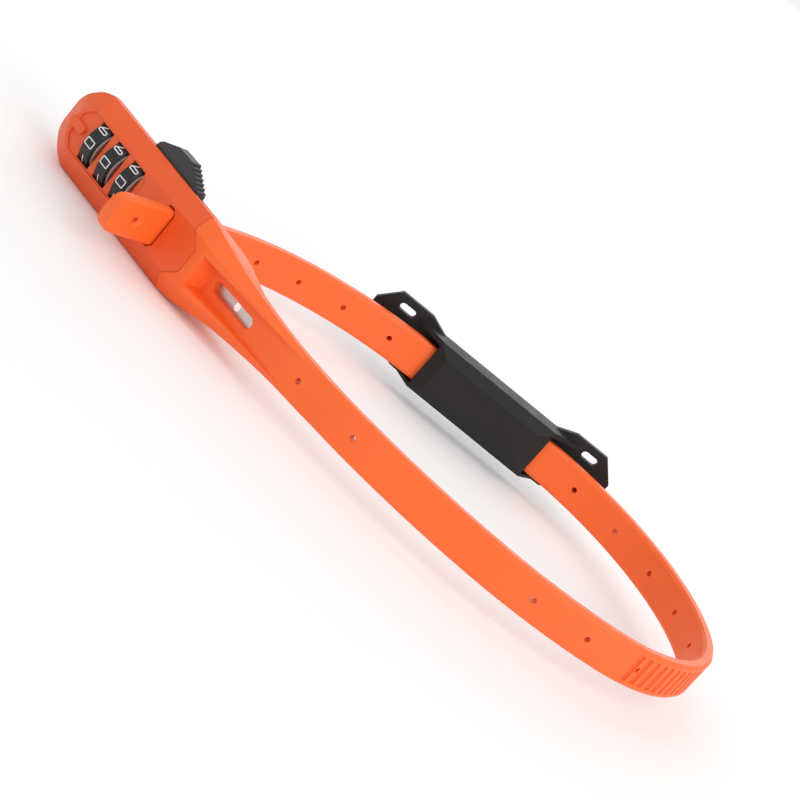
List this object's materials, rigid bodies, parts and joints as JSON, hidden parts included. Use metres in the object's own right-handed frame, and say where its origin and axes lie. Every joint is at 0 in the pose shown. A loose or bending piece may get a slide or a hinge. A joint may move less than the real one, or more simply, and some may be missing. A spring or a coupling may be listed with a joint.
{
  "type": "locking security tie",
  "caption": "Lockable security tie: a steel-cored strap looped through a number-dial lock head, with a dark carrier sleeve riding on the loop.",
  "frame": {"origin": "bottom centre of the bounding box, with the loop lying on its side", "axes": "+Z along the strap's width; +X along the carrier sleeve, from its lock-head side to the far side of the loop; +Y out of the loop through the sleeve's back"},
  "size_m": [0.1922, 0.0966, 0.0252],
  "materials": {
    "orange_shell": "satin moulded shell",
    "orange_strap": "soft satin strap skin",
    "dial_plastic": "fine matt",
    "dark_plastic": "fine matt, ribbed grip",
    "sleeve_plastic": "spark-eroded texture",
    "steel": "bright hardened steel",
    "screw_steel": "blackened",
    "ring_metal": "die-cast satin",
    "chassis_metal": "die-cast"
  },
  "bodies": {
    "head": {"head_front_cover": "orange_shell", "head_back_cover": "orange_shell", "cover_screws": "screw_steel", "root_anchor_pins": "steel", "strap_root_cover": "orange_strap", "strap_root_core": "steel", "strap_bend_cover": "orange_strap", "strap_bend_core": "steel", "spindle_spring": "steel", "lock_chassis": "chassis_metal", "dial_detent_spring": "steel"},
    "dial_1": {"dial_1": "dial_plastic", "code_ring_1": "ring_metal"},
    "dial_2": {"dial_2": "dial_plastic", "code_ring_2": "ring_metal"},
    "dial_3": {"dial_3": "dial_plastic", "code_ring_3": "ring_metal"},
    "bolt": {"thumb_slide": "dark_plastic", "code_spindle": "steel"},
    "tail": {"strap_tail_cover": "orange_strap", "strap_tail_core": "steel"},
    "sleeve": {"carrier_sleeve": "sleeve_plastic"}
  },
  "joints": [
    {"name": "dial_1_turn", "type": "hinge", "parent": "head", "child": "dial_1", "pos_m": [-0.08329, 0.01512, 0.0105], "axis": [0.788, -0.6157, 0], "continuous": true},
    {"name": "dial_2_turn", "type": "hinge", "parent": "head", "child": "dial_2", "pos_m": [-0.07777, 0.01081, 0.0105], "axis": [0.788, -0.6157, 0], "continuous": true},
    {"name": "dial_3_turn", "type": "hinge", "parent": "head", "child": "dial_3", "pos_m": [-0.07226, 0.0065, 0.0105], "axis": [0.788, -0.6157, 0], "continuous": true},
    {"name": "bolt_slide", "type": "slide", "parent": "head", "child": "bolt", "axis": [0.788, -0.6157, 0], "range_m": [0, 0.0026], "stiffness_N_per_m": 100, "deforming": ["spindle_spring"]},
    {"name": "tail_slide", "type": "slide", "parent": "head", "child": "tail", "axis": [0.6157, 0.788, 0], "range_m": [0, 0.034], "deforming": ["strap_bend_cover", "strap_bend_core"]},
    {"name": "sleeve_slide", "type": "slide", "parent": "tail", "child": "sleeve", "axis": [1, 0, 0], "range_m": [-0.003, 0.003]}
  ]
}
